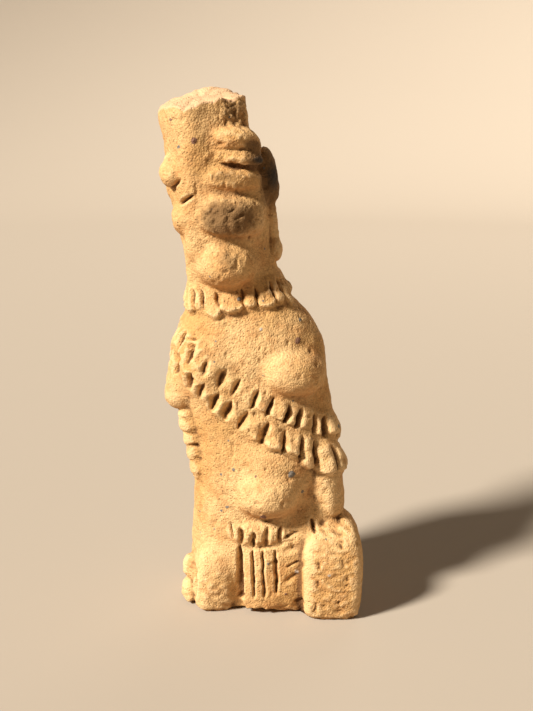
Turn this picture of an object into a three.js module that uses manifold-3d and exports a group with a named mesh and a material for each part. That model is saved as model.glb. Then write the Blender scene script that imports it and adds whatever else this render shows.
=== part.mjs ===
// A hand-built terracotta figure: a squat body with a notched sash over one shoulder, a notched collar,
// a long head with heavy lips, and a tall cap whose top is broken away.
// Millimetres, +Z up. The figure faces -Y, leans a little towards -X, and stands on z = 0.
import * as THREE from 'three';
import { mergeVertices } from 'three/addons/utils/BufferGeometryUtils.js';
import Module from 'manifold-3d';

// The body as it was rolled and pressed, before anything was added: its sides at each height, and how
// square its section is
const BODY_LEVELS = [
  { part: 'foot', z: 0, left: -38, right: 41.5, front: -19, back: 26, square: 2.4 },
  { part: 'hip', z: 22, left: -38, right: 40, front: -23, back: 29, square: 2.4 },
  { part: 'waist', z: 52, left: -36.5, right: 37, front: -24, back: 28, square: 2.3 },
  { part: 'ribs', z: 88, left: -37, right: 31, front: -25, back: 28, square: 2.3 },
  { part: 'chest', z: 115, left: -43, right: 27.5, front: -25, back: 28, square: 2.3 },
  { part: 'shoulder', z: 133, left: -44.5, right: 26.5, front: -24, back: 26, square: 2.3 },
  { part: 'shoulder_top', z: 146, left: -40.5, right: 20, front: -21, back: 22, square: 2.2 },
  { part: 'neck', z: 158, left: -35.5, right: 9, front: -17.5, back: 20, square: 2.2 },
  { part: 'throat', z: 168, left: -38, right: 6, front: -18, back: 20.5, square: 2.3 },
  { part: 'jaw', z: 180, left: -41, right: 2.5, front: -18.5, back: 21, square: 2.5 },
  { part: 'cheek', z: 205, left: -46.5, right: 0.5, front: -20.5, back: 22, square: 2.7 },
  { part: 'brow', z: 227, left: -48, right: -6, front: -21, back: 21, square: 2.7 },
  { part: 'cap', z: 240, left: -50.5, right: -8.5, front: -20.5, back: 20, square: 2.7 },
  { part: 'cap_rim', z: 256, left: -49, right: -10, front: -18.5, back: 18, square: 2.6 },
];

// Lumps of clay smoothed on: middle, half sizes, how far the joint is smoothed, and lean in the front view
const LUMPS = [
  { part: 'right_eye', at: [-42.4, -10.4, 216.8], half: [7.4, 8.8, 10.6], smooth: 2, lean: 25 },
  { part: 'left_upper_lid', at: [-15.5, -15, 229.2], half: [13, 9, 7.2], smooth: 2.5, lean: 5 },
  { part: 'left_lower_lid', at: [-12, -15.4, 221], half: [11, 8.8, 4.8], smooth: 2, lean: 7 },
  { part: 'nose', at: [-17.5, -13, 213.4], half: [17.5, 11, 8], smooth: 4, lean: 4 },
  { part: 'lips', at: [-17, -13.5, 197.4], half: [18.5, 14.5, 11], smooth: 3.5, lean: 7 },
  { part: 'chin', at: [-19.5, -13.5, 174], half: [16.5, 14, 13.4], smooth: 3.5, lean: 0 },
  { part: 'right_ear', at: [-45.5, 10, 212], half: [4, 7, 12], smooth: 2, lean: 6 },
  { part: 'left_breast', at: [8.5, -14.5, 124], half: [16, 14, 13.5], smooth: 5, lean: 10 },
  { part: 'right_breast', at: [-27, -13, 124], half: [13, 12, 13], smooth: 6, lean: 0 },
  { part: 'belly', at: [2, -14, 73.5], half: [20.5, 16, 24], smooth: 5, lean: 0 },
  { part: 'lower_belly', at: [2, -18, 64.5], half: [17.5, 15.5, 14.5], smooth: 5, lean: 0 },
  { part: 'left_forearm', at: [28.5, -9, 64], half: [9, 13, 30], smooth: 4, lean: -6 },
  { part: 'right_knee', at: [-26, -8, 14], half: [11.5, 15, 20], smooth: 5, lean: 0 },
  { part: 'apron', at: [0, -16, 22], half: [17, 11, 24], smooth: 3, lean: 0 },
  { part: 'belt', at: [-3, -19.5, 43.5], half: [17, 8, 6.5], smooth: 2, lean: -2 },
];

// Rolls of clay smoothed on: from one end to the other, with a radius at each end
const ROLLS = [
  { part: 'right_arm', from: [-37.3, -4, 131], to: [-41, -6, 109], radius: [8.5, 8.5], smooth: 3 },
  { part: 'left_arm', from: [18.5, -5, 132], to: [24.5, -6, 92], radius: [8.5, 8.5], smooth: 4 },
];

// Pellets of clay stuck on, with a clear edge all round: 2 is a ball's profile, and more is squarer
const PELLETS = [
  { part: 'left_ear', at: [0.6, 1, 213], half: [4.8, 9.5, 13], lean: -10, square: 2.2 },
  { part: 'left_ear_drop', at: [2.6, -1, 190], half: [2.7, 3.6, 14], lean: -6, square: 2.4 },
  { part: 'left_ear_drop_end', at: [4, -2, 178.5], half: [3.4, 4, 5.6], lean: -6, square: 2 },
  { part: 'upper_knob', at: [-38.2, -8, 18.9], half: [5.6, 6, 5.6], lean: 0, square: 2 },
  { part: 'lower_knob', at: [-38.6, -8, 6.8], half: [5.8, 6.4, 6], lean: 0, square: 2 },
  { part: 'left_knee', at: [32.2, -13, 5], half: [15.8, 22.5, 43], lean: 0, square: 3 },
];

// The strand of pellets that hangs below the broken right arm
const STRAND = { from: [-39.6, -8.5, 98.5], to: [-34, -10, 71.5], knots: 5, thick: [5.2, 3.4], tall: 0.66 };

// Bands laid round the body, each with its section as steps across it and out from the clay
const COLLAR = {
  z: 157.2, rise: 5, widen: 0, steps: 30,
  heightAt: collarHeight, liesOn: bodyDistance,
  section: [[-6.4, -4], [-6.2, 1.8], [-3.8, 4], [1, 4], [4.6, 2.4], [6.4, -0.4], [6, -4]],
};
const SASH = {
  z: 108, drop: 26, frontDip: 3.2, bend: 5, widen: 0.2, steps: 36,
  heightAt: sashHeight, liesOn: skinDistance,
  section: [
    [-10, -3], [-10.2, 1.2], [-7.6, 3], [-2.8, 3], [-0.2, 1.2], [2.4, 3], [7.4, 3], [10.2, 1.2], [10, -3],
  ],
};

// Knife cuts that divide the bands into teeth
const COLLAR_CUT = {
  pitchDeg: 15.5, count: 12, firstDeg: -88, out: 2.8, width: 1.8, depth: 3.6, length: 13,
};
const SASH_ROWS = [
  { row: 'upper', across: 5, firstDeg: -72, pitchDeg: 15.5, count: 12, leanDeg: [16, 2] },
  { row: 'lower', across: -5.4, firstDeg: -71.5, pitchDeg: 14.5, count: 12, leanDeg: [12, 0] },
];
const SASH_CUT = { out: 2.4, width: 3.2, depth: 4.2, length: 13 };

// The apron: long pleats under a row of short cuts, with slanted cuts on the fold beside them
const PLEAT = { x: [-12.8, -7.3, -1.3, 4.2], top: 36.5, bottom: 9.5, width: 1.7, depth: 2.2 };
const BELT_CUT = { x: [-17, -12.5, -6.2, 0.2, 6.7], z: 43.3, length: 11, width: 2.4, depth: 2.8 };
const FOLD_CUT = { x: 12, z: [36.3, 28.4, 19.9, 8.4], length: 8.5, width: 1.9, depth: 1.7, leanDeg: 58 };

// Single knife cuts: where they are seen from the front, their length, width, depth and lean
const KNIFE_CUTS = [
  { part: 'left_lids', x: -9.5, z: 225.2, length: 17, width: 2.2, depth: 2.2, lean: 86 },
  { part: 'mouth_corner', x: -36, z: 204, length: 11, width: 2.6, depth: 2.8, lean: 54 },
  { part: 'hip_slit', x: 21.9, z: 49, length: 9, width: 1.7, depth: 2.2, lean: -6 },
  { part: 'knee_slit', x: 24.4, z: 32.5, length: 8, width: 1.8, depth: 1.6, lean: -6 },
  { part: 'knee_slit', x: 24.5, z: 21.7, length: 7, width: 1.8, depth: 1.6, lean: 0 },
  { part: 'knee_slit', x: 36.8, z: 32.1, length: 8, width: 1.8, depth: 1.6, lean: -10 },
  { part: 'knee_slit', x: 38.2, z: 22, length: 8, width: 1.8, depth: 1.6, lean: -4 },
  { part: 'toe_slit', x: 23.1, z: 9.5, length: 9, width: 1.9, depth: 1.8, lean: -4 },
  { part: 'toe_slit', x: 27.6, z: 9.5, length: 7, width: 1.6, depth: 1.4, lean: 0 },
  { part: 'toe_slit', x: 34.9, z: 9, length: 7, width: 1.6, depth: 1.4, lean: 0 },
];

// The break across the cap, higher behind than in front, and its chipped corner
const BREAK = {
  z: 245.6, riseRight: 0.14, riseBack: 6.4, ridgeX: -31, ridgeHalf: 20, front: -20, back: 16, ragged: 0.5,
};
const CHIP = { x: -12.8, z: 242.5, size: [30, 5, 17], lean: 4 };

// The hollow in the lower edge between the knees
const ARCH = { x: -5, halfWidth: 17, height: 3.4, reach: 12 };

// Mesh: columns crowd towards the front, and rows where the carving is finer
const COLUMNS = 40;
const FRONT_BIAS = 0.42;
const UNDER_ROWS = 2;
const SIDE_BANDS = [
  { to: 50, rows: 10 }, { to: 104, rows: 7 }, { to: 150, rows: 8 },
  { to: 166, rows: 3 }, { to: 236, rows: 23 }, { to: 247, rows: 2 },
];
const TOP_ROWS = 3;
const FACET = 6;
const GROUND = 200;
const RAY = { reach: 58, steps: 58, halvings: 12 };

const { clamp, degToRad, lerp } = THREE.MathUtils;
const FRONT = -Math.PI / 2;
const UP = new THREE.Vector3(0, 0, 1);
const SIDEWAYS = new THREE.Vector3(0, 1, 0);

// Smooth curve through the values of one side, by height
function side(name, z) {
  const rows = BODY_LEVELS;
  let i = 0;
  while (i < rows.length - 2 && z > rows[i + 1].z) i += 1;
  const slope = (k) => {
    const a = rows[Math.max(0, k - 1)];
    const b = rows[Math.min(rows.length - 1, k + 1)];
    return (b[name] - a[name]) / (b.z - a.z);
  };
  const span = rows[i + 1].z - rows[i].z;
  const t = clamp((z - rows[i].z) / span, 0, 1);
  const s = t * t * (3 - 2 * t);
  return rows[i][name] * (1 - s) + rows[i + 1][name] * s
    + span * t * (1 - t) * (slope(i) * (1 - t) - slope(i + 1) * t);
}

function axisAt(z) {
  const x = (side('left', z) + side('right', z)) / 2;
  const y = (side('front', z) + side('back', z)) / 2;
  return new THREE.Vector3(x, y, z);
}

// Smaller of two distances, rounded over where they are within reach of each other
function smoothUnion(a, b, reach) {
  const h = Math.max(reach - Math.abs(a - b), 0) / reach;
  return Math.min(a, b) - h * h * reach / 4;
}

function bodyDistance(p) {
  const halfX = (side('right', p.z) - side('left', p.z)) / 2;
  const halfY = (side('back', p.z) - side('front', p.z)) / 2;
  const axis = axisAt(p.z);
  const n = side('square', p.z);
  const q = Math.abs((p.x - axis.x) / halfX) ** n + Math.abs((p.y - axis.y) / halfY) ** n;
  return (q ** (1 / n) - 1) * Math.sqrt(halfX * halfY);
}

// How many times its own size a lump would have to grow to reach q: round in plan, and as square in
// profile as n says
function growth(q, n) {
  return (Math.hypot(q.x, q.y) ** n + Math.abs(q.z) ** n) ** (1 / n);
}

// About how far a point is from the surface of a lump
function lumpDistance(p, lump, n) {
  const q = p.clone().sub(new THREE.Vector3(...lump.at)).applyAxisAngle(SIDEWAYS, -degToRad(lump.lean));
  const half = new THREE.Vector3(...lump.half);
  const near = growth(q.divide(half), n);
  if (near === 0) return -Math.min(...lump.half);
  const plan = Math.hypot(q.x, q.y);
  const share = plan === 0 ? 0 : (plan / near) ** (n - 1) / plan;
  const rise = (Math.abs(q.z) / near) ** (n - 1);
  return (near - 1) / Math.hypot(share * q.x / half.x, share * q.y / half.y, rise / half.z);
}

function rollDistance(p, roll) {
  const from = new THREE.Vector3(...roll.from);
  const along = new THREE.Vector3(...roll.to).sub(from);
  const t = clamp(p.clone().sub(from).dot(along) / along.lengthSq(), 0, 1);
  return p.distanceTo(from.addScaledVector(along, t)) - lerp(roll.radius[0], roll.radius[1], t);
}

// The skin of the clay: the body with its lumps and rolls smoothed on
function skinDistance(p) {
  let d = bodyDistance(p);
  for (const lump of LUMPS) d = smoothUnion(d, lumpDistance(p, lump, 2), lump.smooth);
  for (const roll of ROLLS) d = smoothUnion(d, rollDistance(p, roll), roll.smooth);
  return d;
}

// The clay with its pellets on
function clayDistance(p) {
  return Math.min(skinDistance(p), ...PELLETS.map((pellet) => lumpDistance(p, pellet, pellet.square)));
}

// Outermost clay on a ray, stepping in from outside and then halving the last step
function outermost(distance, from, direction) {
  const step = RAY.reach / RAY.steps;
  const at = (t) => distance(from.clone().addScaledVector(direction, t));
  let outside = RAY.reach;
  while (outside > step && at(outside - step) > 0) outside -= step;
  let inside = outside - step;
  for (let i = 0; i < RAY.halvings; i += 1) {
    const middle = (inside + outside) / 2;
    if (at(middle) > 0) outside = middle;
    else inside = middle;
  }
  return from.clone().addScaledVector(direction, outside);
}

// A point on the skin at a bearing round the body: 0 at the front, positive towards +X
function roundPoint(distance, bearing, z) {
  const angle = FRONT + bearing;
  return outermost(distance, axisAt(z), new THREE.Vector3(Math.cos(angle), Math.sin(angle), 0));
}

function frontPoint(x, z) {
  return outermost(clayDistance, new THREE.Vector3(x, 10, z), new THREE.Vector3(0, -1, 0));
}

function outwardAt(distance, p) {
  const reach = 1.2;
  const slope = ['x', 'y', 'z'].map((axis) => {
    const ahead = p.clone();
    const behind = p.clone();
    ahead[axis] += reach;
    behind[axis] -= reach;
    return distance(ahead) - distance(behind);
  });
  return new THREE.Vector3(...slope).normalize();
}

// Height of the lower edge: flat but for the arch between the knees, which fades towards the middle
function undersideHeight(x, y) {
  const across = Math.max(0, 1 - ((x - ARCH.x) / ARCH.halfWidth) ** 2);
  const forward = clamp((-y - ARCH.reach) / ARCH.reach, 0, 1);
  return ARCH.height * across * forward;
}

function breakHeight(x, y) {
  const ridge = Math.max(0, 1 - ((x - BREAK.ridgeX) / BREAK.ridgeHalf) ** 2);
  const behind = clamp((y - BREAK.front) / (BREAK.back - BREAK.front), 0, 1);
  const ragged = BREAK.ragged * (Math.sin(0.9 * x + 0.4 * y) + Math.sin(0.5 * x - 0.8 * y));
  return BREAK.z + BREAK.riseRight * (x - BREAK.ridgeX) + BREAK.riseBack * ridge * behind + ragged;
}

function sideShares() {
  const top = SIDE_BANDS[SIDE_BANDS.length - 1].to;
  const shares = [0];
  let from = 0;
  for (const band of SIDE_BANDS) {
    for (let i = 1; i <= band.rows; i += 1) shares.push(lerp(from, band.to, i / band.rows) / top);
    from = band.to;
  }
  return shares;
}

// One column of the outer surface: from the middle of the underside, up the side, to the middle of
// the break
function figureColumn(bearing, shares) {
  const foot = roundPoint(skinDistance, bearing, 0);
  const under = axisAt(0);
  const column = [];
  for (let i = 0; i < UNDER_ROWS; i += 1) {
    const p = under.clone().lerp(foot, i / UNDER_ROWS);
    column.push(p.setZ(undersideHeight(p.x, p.y)));
  }
  const rim = roundPoint(skinDistance, bearing, BREAK.z);
  const low = undersideHeight(foot.x, foot.y);
  const high = breakHeight(rim.x, rim.y);
  for (const share of shares) column.push(roundPoint(skinDistance, bearing, lerp(low, high, share)));
  const middle = axisAt(BREAK.z);
  for (let i = TOP_ROWS - 1; i >= 0; i -= 1) {
    const p = middle.clone().lerp(rim, i / TOP_ROWS);
    column.push(p.setZ(breakHeight(p.x, p.y)));
  }
  return column;
}

// Triangles over columns of points that close round into a ring, outward for columns set out
// anticlockwise. Each four-sided patch is split along the diagonal that keeps closer to the surface.
function ringGeometry(columns, closedColumn, distance) {
  const rows = columns[0].length;
  const index = [];
  columns.forEach((here, i) => {
    const next = (i + 1) % columns.length;
    const there = columns[next];
    for (let j = 0; j < (closedColumn ? rows : rows - 1); j += 1) {
      const above = (j + 1) % rows;
      const [a, b] = [i * rows + j, next * rows + j];
      const [c, d] = [next * rows + above, i * rows + above];
      const off = (p, q) => Math.abs(distance(p.clone().lerp(q, 0.5)));
      const rising = off(here[j], there[above]) < off(there[j], here[above]);
      index.push(...(rising ? [a, b, c, a, c, d] : [a, b, d, b, c, d]));
    }
  });
  return new THREE.BufferGeometry().setFromPoints(columns.flat()).setIndex(index);
}

function figureGeometry() {
  const shares = sideShares();
  const columns = Array.from({ length: COLUMNS }, (_, i) => {
    const turn = 2 * Math.PI * (i / COLUMNS - 0.5);
    return figureColumn(turn - FRONT_BIAS * Math.sin(turn), shares);
  });
  return ringGeometry(columns, false, skinDistance);
}

function collarHeight(bearing) {
  return COLLAR.z + COLLAR.rise * (1 - Math.cos(bearing) + Math.sin(bearing)) / 2;
}

function sashHeight(bearing) {
  return SASH.z - SASH.drop * Math.sin(bearing) - SASH.frontDip * Math.cos(bearing)
    + SASH.bend * Math.sin(2 * bearing);
}

// A point of a band: its height at this bearing, then across it and out from the clay it lies on
function bandPoint(band, bearing, across, out) {
  const middle = roundPoint(band.liesOn, bearing, band.heightAt(bearing));
  const climb = (band.heightAt(bearing + 0.05) - band.heightAt(bearing - 0.05)) / 0.1;
  const radius = middle.distanceTo(axisAt(middle.z));
  const wide = 1 + band.widen * (0.4 + Math.sin(bearing));
  const p = roundPoint(band.liesOn, bearing, middle.z + across * wide * Math.hypot(1, climb / radius));
  return p.addScaledVector(outwardAt(band.liesOn, p), out);
}

function bandGeometry(band) {
  const columns = Array.from({ length: band.steps }, (_, i) => {
    const bearing = 2 * Math.PI * (i / band.steps - 0.5);
    return band.section.map(([across, out]) => bandPoint(band, bearing, across, out));
  });
  return ringGeometry(columns, true, band.liesOn);
}

const wasm = await Module();
wasm.setup();

// A geometry as a solid: shared corners merged, and the triangles that collapse at a pole dropped
function solid(geometry) {
  const bare = geometry.clone();
  bare.deleteAttribute('normal');
  bare.deleteAttribute('uv');
  const merged = mergeVertices(bare, 1e-3);
  const kept = [];
  for (let i = 0; i < merged.index.count; i += 3) {
    const [a, b, c] = [0, 1, 2].map((k) => merged.index.getX(i + k));
    if (a !== b && b !== c && c !== a) kept.push(a, b, c);
  }
  const vertProperties = merged.attributes.position.array;
  return new wasm.Manifold(new wasm.Mesh({ numProp: 3, vertProperties, triVerts: new Uint32Array(kept) }));
}

function geometryOf(manifold) {
  const mesh = manifold.getMesh();
  const geometry = new THREE.BufferGeometry();
  geometry.setAttribute('position', new THREE.BufferAttribute(mesh.vertProperties, 3));
  geometry.setIndex(new THREE.BufferAttribute(mesh.triVerts, 1));
  return geometry;
}

// A frame on the clay: local Y points out of it, and local Z runs up the figure, leaning towards +X
function frameOn(point, leanDeg) {
  const out = outwardAt(clayDistance, point);
  const left = out.clone().cross(UP).normalize();
  const up = left.clone().cross(out);
  const lean = new THREE.Matrix4().makeRotationY(-degToRad(leanDeg));
  return new THREE.Matrix4().makeBasis(left, out, up).multiply(lean).setPosition(point);
}

// A knife cut: a blade that is pointed at both ends and deepest in the middle
function blade(point, size, leanDeg) {
  const geometry = new THREE.OctahedronGeometry(1);
  geometry.scale(size.width / 2, size.depth, size.length / 2);
  return solid(geometry.applyMatrix4(frameOn(point, leanDeg)));
}

// A groove of even depth between two heights on the front
function groove(x, size) {
  const low = frontPoint(x, size.bottom);
  const high = frontPoint(x, size.top);
  const up = high.clone().sub(low);
  const geometry = new THREE.CylinderGeometry(1, 1, up.length(), 4).rotateX(Math.PI / 2);
  geometry.scale(size.width / 2, size.depth, 1);
  const right = new THREE.Vector3(1, 0, 0);
  up.normalize();
  const matrix = new THREE.Matrix4().makeBasis(right, up.clone().cross(right), up);
  return solid(geometry.applyMatrix4(matrix.setPosition(low.add(high).multiplyScalar(0.5))));
}

// A ball of clay, as round or as square as n says, with facets about as long as FACET
function ballGeometry(half, leanDeg, n) {
  const round = clamp(Math.round(2 * Math.PI * Math.max(half[0], half[1]) / FACET), 7, 18);
  const tall = clamp(Math.round(Math.PI * half[2] / FACET), 6, 12);
  const geometry = new THREE.SphereGeometry(1, round, tall).rotateX(Math.PI / 2);
  const corners = geometry.attributes.position;
  const corner = new THREE.Vector3();
  for (let i = 0; i < corners.count; i += 1) {
    corner.fromBufferAttribute(corners, i);
    corner.divideScalar(growth(corner, n));
    corners.setXYZ(i, corner.x, corner.y, corner.z);
  }
  return geometry.scale(...half).rotateY(degToRad(leanDeg));
}

function pellets() {
  return PELLETS.map((pellet) => {
    const geometry = ballGeometry(pellet.half, pellet.lean, pellet.square);
    return solid(geometry.translate(...pellet.at));
  });
}

function strandKnots() {
  const from = new THREE.Vector3(...STRAND.from);
  const to = new THREE.Vector3(...STRAND.to);
  const tall = STRAND.tall * from.distanceTo(to) / STRAND.knots;
  return Array.from({ length: STRAND.knots }, (_, i) => {
    const share = (i + 0.5) / STRAND.knots;
    const thick = lerp(STRAND.thick[0], STRAND.thick[1], share);
    const at = from.clone().lerp(to, share);
    return solid(ballGeometry([thick, thick, tall], 0, 2).translate(at.x, at.y, at.z));
  });
}

function sashCuts() {
  return SASH_ROWS.flatMap((row) => Array.from({ length: row.count }, (_, i) => {
    const bearing = degToRad(row.firstDeg + row.pitchDeg * i);
    const point = bandPoint(SASH, bearing, row.across, SASH_CUT.out);
    return blade(point, SASH_CUT, lerp(row.leanDeg[0], row.leanDeg[1], i / row.count));
  }));
}

function collarCuts() {
  return Array.from({ length: COLLAR_CUT.count }, (_, i) => {
    const bearing = degToRad(COLLAR_CUT.firstDeg + COLLAR_CUT.pitchDeg * i);
    return blade(bandPoint(COLLAR, bearing, 0, COLLAR_CUT.out), COLLAR_CUT, 0);
  });
}

function apronCuts() {
  const pleats = PLEAT.x.map((x) => groove(x, PLEAT));
  const belt = BELT_CUT.x.map((x) => blade(frontPoint(x, BELT_CUT.z), BELT_CUT, 0));
  const fold = FOLD_CUT.z.map((z) => blade(frontPoint(FOLD_CUT.x, z), FOLD_CUT, FOLD_CUT.leanDeg));
  return [...pleats, ...belt, ...fold];
}

function knifeCuts() {
  return KNIFE_CUTS.map((cut) => blade(frontPoint(cut.x, cut.z), cut, cut.lean));
}

function capChip() {
  const point = frontPoint(CHIP.x, CHIP.z);
  return solid(new THREE.BoxGeometry(...CHIP.size).applyMatrix4(frameOn(point, CHIP.lean)));
}

// Everything below the plane the figure stands on
function belowGround() {
  return solid(new THREE.BoxGeometry(GROUND, GROUND, GROUND).translate(0, 0, -GROUND / 2));
}

const terracotta = new THREE.MeshStandardMaterial({ color: 0xc8975f, roughness: 0.95, metalness: 0 });
const sash = solid(bandGeometry(SASH));
const collar = solid(bandGeometry(COLLAR));

let clay = solid(figureGeometry());
for (const added of [sash, collar, ...pellets(), ...strandKnots()]) clay = clay.add(added);
const cuts = [...sashCuts(), ...collarCuts(), ...apronCuts(), ...knifeCuts(), capChip(), belowGround()];
for (const cut of cuts) clay = clay.subtract(cut);

const figure = new THREE.Mesh(geometryOf(clay), terracotta);
figure.name = 'terracotta_figure';

const part = new THREE.Group();
part.add(figure);

export default part;
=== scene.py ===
"""Looks of a hand-built terracotta figure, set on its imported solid.

The clay is one closed surface. Its form is a rolled body with lumps, rolls and pellets of clay smoothed on,
given as distances in millimetres. A grid of bearings and heights finds that surface along level lines, and
bands, knife cuts, breaks and sand grain are then raised or sunk along its normals.
"""

import logging
import math
from dataclasses import dataclass
from enum import Enum
from typing import Any

import bpy
import numpy as np
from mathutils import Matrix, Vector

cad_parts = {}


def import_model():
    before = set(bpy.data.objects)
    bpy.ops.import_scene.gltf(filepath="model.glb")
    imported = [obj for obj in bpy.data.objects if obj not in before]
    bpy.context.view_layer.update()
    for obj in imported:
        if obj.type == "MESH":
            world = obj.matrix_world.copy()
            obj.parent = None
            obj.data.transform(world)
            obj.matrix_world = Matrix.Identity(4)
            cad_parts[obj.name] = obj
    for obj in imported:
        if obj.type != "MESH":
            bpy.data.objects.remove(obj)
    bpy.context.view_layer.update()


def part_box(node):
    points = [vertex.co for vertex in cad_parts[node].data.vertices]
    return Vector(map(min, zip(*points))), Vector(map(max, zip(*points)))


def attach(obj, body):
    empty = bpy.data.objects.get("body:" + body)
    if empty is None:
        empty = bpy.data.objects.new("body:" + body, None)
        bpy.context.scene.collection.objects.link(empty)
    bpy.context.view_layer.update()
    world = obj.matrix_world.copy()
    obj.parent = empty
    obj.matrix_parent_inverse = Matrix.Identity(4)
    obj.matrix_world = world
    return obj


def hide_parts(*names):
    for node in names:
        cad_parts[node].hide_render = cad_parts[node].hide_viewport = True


LOG = logging.getLogger("terracotta_figure")
NODE = "terracotta_figure"
BODY = "root"
MM = 0.001
TINY = 1e-9

Array = np.ndarray
Point = tuple[float, float, float]
Spot = tuple[float, float]
Colour = tuple[float, float, float]


def smooth_step(low: float, high: float, value: Array) -> Array:
    """Rises from 0 at low to 1 at high as 3t^2 - 2t^3.

    Args:
        low: Where the rise starts; it may be above high for a fall.
        high: Where the rise ends.
        value: Values to place on the rise.

    Returns:
        Shares between 0 and 1.
    """
    t = np.clip((value - low) / (high - low), 0.0, 1.0)
    return t * t * (3.0 - 2.0 * t)


def smooth_union(a: Array, b: Array, reach: float) -> Array:
    """Smaller of two distances, rounded over where they are within reach of each other."""
    h = np.maximum(reach - np.abs(a - b), 0.0) / reach
    return np.minimum(a, b) - h * h * reach / 4.0


def lengths(vectors: Array) -> Array:
    """Lengths of vectors that run along the last axis."""
    return np.sqrt((vectors * vectors).sum(-1))


def unit(vectors: Array) -> Array:
    """Vectors brought to length 1."""
    return vectors / (lengths(vectors) + TINY)[..., None]


class SandNoise:
    """Smooth noise between -1 and 1, from a block of seeded values that repeats."""

    SHIFTS = (0.0, 41.3, 87.1)

    def __init__(self, seed: int, cells: int = 32) -> None:
        """Draws the block of values."""
        self.cells = cells
        self.block = np.random.default_rng(seed).uniform(-1.0, 1.0, (cells,) * 3)

    def at(self, points: Array, wavelength: float) -> Array:
        """Blends the eight block values round each point, by 3t^2 - 2t^3 along each axis.

        Args:
            points: Places in millimetres.
            wavelength: Millimetres from one block value to the next.

        Returns:
            One value for each point.
        """
        place = points / wavelength
        cell = np.floor(place).astype(int)
        t = place - cell
        weight = t * t * (3.0 - 2.0 * t)
        total = np.zeros(points.shape[:-1])
        for corner in np.ndindex(2, 2, 2):
            i, j, k = np.moveaxis((cell + corner) % self.cells, -1, 0)
            share = np.where(np.array(corner) == 1, weight, 1.0 - weight).prod(-1)
            total += share * self.block[i, j, k]
        return total

    def drift(self, points: Array, wavelength: float) -> Array:
        """Three such noises as a vector, each from its own part of the block."""
        return np.stack([self.at(points + shift, wavelength) for shift in self.SHIFTS], -1)


@dataclass(frozen=True)
class Level:
    """Sides of the rolled body at one height, how square its section is and how far it is turned."""

    z: float
    left: float
    right: float
    front: float
    back: float
    square: float
    turn_deg: float = 0.0


class RolledBody:
    """The body as it was rolled and pressed, before anything was added."""

    DRAW_IN = 0.2

    def __init__(self, levels: tuple[Level, ...]) -> None:
        """Keeps the levels as arrays, with the slope of each side through each level."""
        self.z = np.array([level.z for level in levels])
        self.sides = np.array([(v.left, v.right, v.front, v.back, v.square, v.turn_deg) for v in levels])
        rows = np.arange(len(levels))
        below = np.maximum(rows - 1, 0)
        above = np.minimum(rows + 1, len(levels) - 1)
        self.slopes = (self.sides[above] - self.sides[below]) / (self.z[above] - self.z[below])[:, None]

    def at(self, z: Array) -> Array:
        """Smooth cubic curve through the levels.

        Args:
            z: Heights.

        Returns:
            Left, right, front, back, squareness and turn along the last axis.
        """
        i = np.clip(np.searchsorted(self.z, z) - 1, 0, len(self.z) - 2)
        span = (self.z[i + 1] - self.z[i])[..., None]
        t = np.clip((z - self.z[i])[..., None] / span, 0.0, 1.0)
        s = t * t * (3.0 - 2.0 * t)
        bend = self.slopes[i] * (1.0 - t) - self.slopes[i + 1] * t
        return self.sides[i] * (1.0 - s) + self.sides[i + 1] * s + span * t * (1.0 - t) * bend

    def axis(self, z: Array) -> Array:
        """Middle of the body at each height, as points."""
        left, right, front, back, _, _ = np.moveaxis(self.at(z), -1, 0)
        return np.stack([(left + right) / 2.0, (front + back) / 2.0, z], -1)

    def distance(self, points: Array) -> Array:
        """About how far points are outside a turned section, an ellipse of the given squareness.

        A turned section is drawn in by a share of its turn, so that its corners stay within its sides.
        """
        left, right, front, back, square, turn = np.moveaxis(self.at(points[..., 2]), -1, 0)
        half_x = (right - left) / 2.0
        half_y = (back - front) / 2.0
        x = (points[..., 0] - (left + right) / 2.0) / half_x
        y = (points[..., 1] - (front + back) / 2.0) / half_y
        cosine = np.cos(np.radians(turn))
        sine = np.sin(np.radians(turn))
        drawn_in = 1.0 + self.DRAW_IN * sine
        across = np.abs(x * cosine + y * sine) * drawn_in
        deep = np.abs(y * cosine - x * sine) * drawn_in
        size = (across**square + deep**square) ** (1.0 / square)
        return (size - 1.0) * np.sqrt(half_x * half_y)


@dataclass(frozen=True)
class Lump:
    """A ball of clay pressed on: middle, half sizes, smoothing of the joint, lean in the front view."""

    at: Point
    half: Point
    smooth: float
    lean: float = 0.0
    square: float = 2.0
    plan_square: float = 2.0

    def distance(self, points: Array) -> Array:
        """About how far points are outside: (size - 1) over the slope of the lump's own measure of size."""
        offset = points - np.array(self.at)
        turn = math.radians(self.lean)
        x = np.abs(offset[..., 0] * math.cos(turn) - offset[..., 2] * math.sin(turn)) / self.half[0]
        y = np.abs(offset[..., 1]) / self.half[1]
        rise = np.abs(offset[..., 0] * math.sin(turn) + offset[..., 2] * math.cos(turn)) / self.half[2]
        m = self.plan_square
        n = self.square
        plan = (x**m + y**m) ** (1.0 / m) + TINY
        size = (plan**n + rise**n) ** (1.0 / n) + TINY
        flat = np.hypot((x / plan) ** (m - 1.0) / self.half[0], (y / plan) ** (m - 1.0) / self.half[1])
        rate = np.hypot(flat * (plan / size) ** (n - 1.0), (rise / size) ** (n - 1.0) / self.half[2])
        return (size - 1.0) / (rate + TINY)


@dataclass(frozen=True)
class Roll:
    """A roll of clay pressed on, from one end to the other."""

    start: Point
    end: Point
    radius: float
    smooth: float

    def distance(self, points: Array) -> Array:
        """How far points are outside a rod with round ends."""
        start = np.array(self.start)
        along = np.array(self.end) - start
        t = np.clip(((points - start) @ along) / (along @ along), 0.0, 1.0)
        return lengths(points - start - t[..., None] * along) - self.radius


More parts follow.
